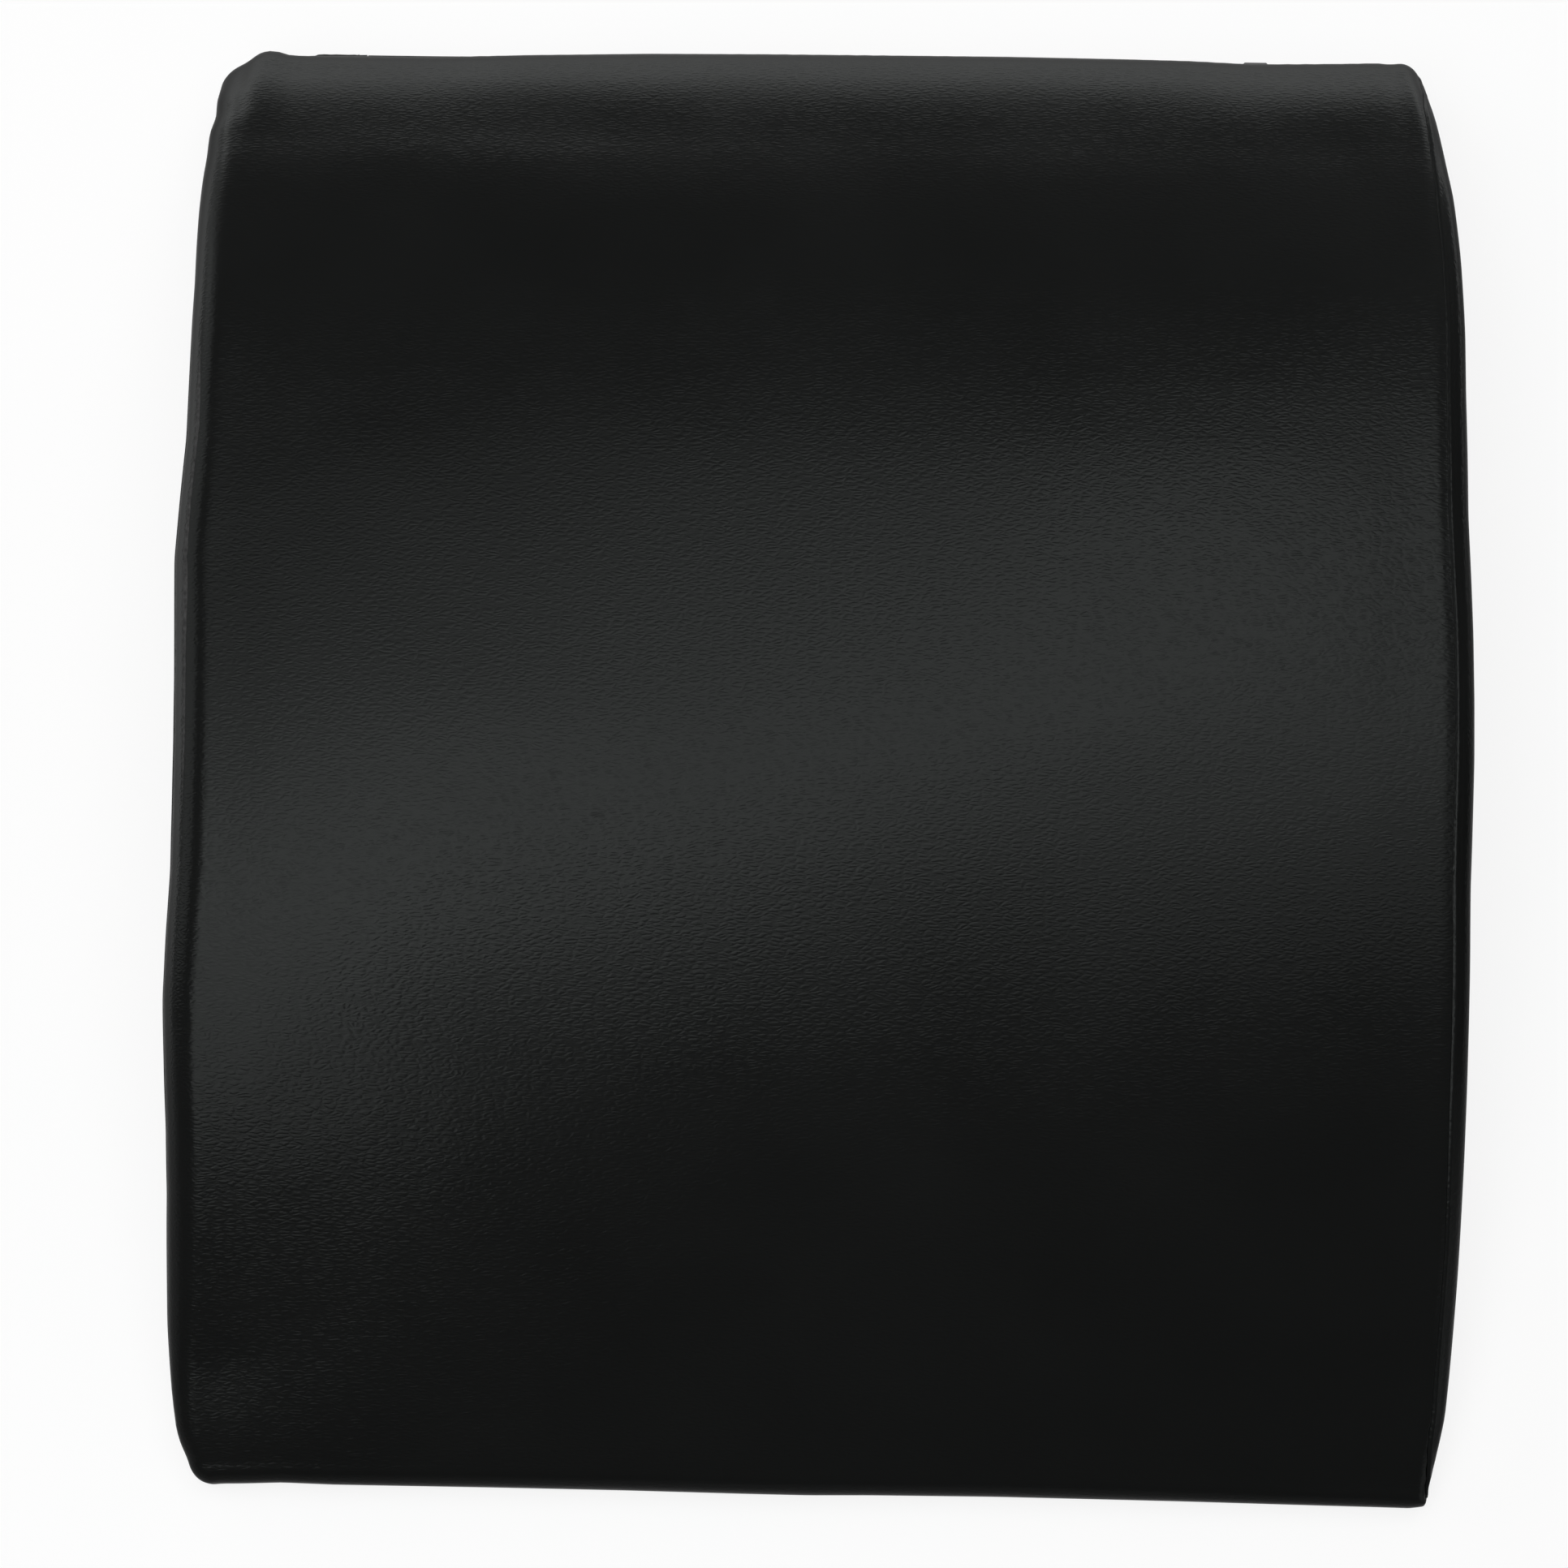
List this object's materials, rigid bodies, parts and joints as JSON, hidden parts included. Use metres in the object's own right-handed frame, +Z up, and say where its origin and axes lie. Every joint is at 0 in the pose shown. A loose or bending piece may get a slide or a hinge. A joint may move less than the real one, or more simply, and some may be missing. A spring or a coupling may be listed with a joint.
{
  "type": "ab mat",
  "caption": "Curved foam mat that supports the lower back during sit-ups, in a sewn faux-leather cover with a zip across the rear wall.",
  "frame": {"origin": "middle of the flat underside that the mat rests on", "axes": "+X across the mat to the user's right, +Y from the thin front lip to the tall rear wall, +Z up out of the hump"},
  "size_m": [0.31, 0.3589, 0.063],
  "materials": {
    "faux_leather": "satin black with a fine grain",
    "non_slip_fabric": "matte black, finely textured",
    "firm_foam": "matte dark grey foam",
    "woven_tape": "matte black weave",
    "tooth_plastic": "satin black",
    "dark_metal": "satin gunmetal"
  },
  "bodies": {
    "mat": {"foam_core": "firm_foam", "top_panel": "faux_leather", "side_panel_left": "faux_leather", "side_panel_right": "faux_leather", "base_panel": "non_slip_fabric", "rear_strip_upper": "faux_leather", "rear_strip_lower": "faux_leather", "rear_end_panel_left": "faux_leather", "rear_end_panel_right": "faux_leather", "zip_tape_upper": "woven_tape", "zip_tape_lower": "woven_tape", "zip_teeth_upper": "tooth_plastic", "zip_teeth_lower": "tooth_plastic", "zip_top_stop_upper": "tooth_plastic", "zip_top_stop_lower": "tooth_plastic", "zip_bottom_stop": "tooth_plastic"},
    "slider": {"zip_slider": "dark_metal"},
    "pull_tab": {"zip_pull_tab": "dark_metal"}
  },
  "joints": [
    {"name": "zip_slide", "type": "slide", "parent": "mat", "child": "slider", "axis": [1, 0, 0], "range_m": [-0.2117, 0], "deforming": ["zip_teeth_upper", "zip_teeth_lower"]},
    {"name": "pull_tab_hinge", "type": "hinge", "parent": "slider", "child": "pull_tab", "pos_m": [0.1073, 0.1793, 0.011], "axis": [0, 0, -1], "range_deg": [0, 175]}
  ]
}
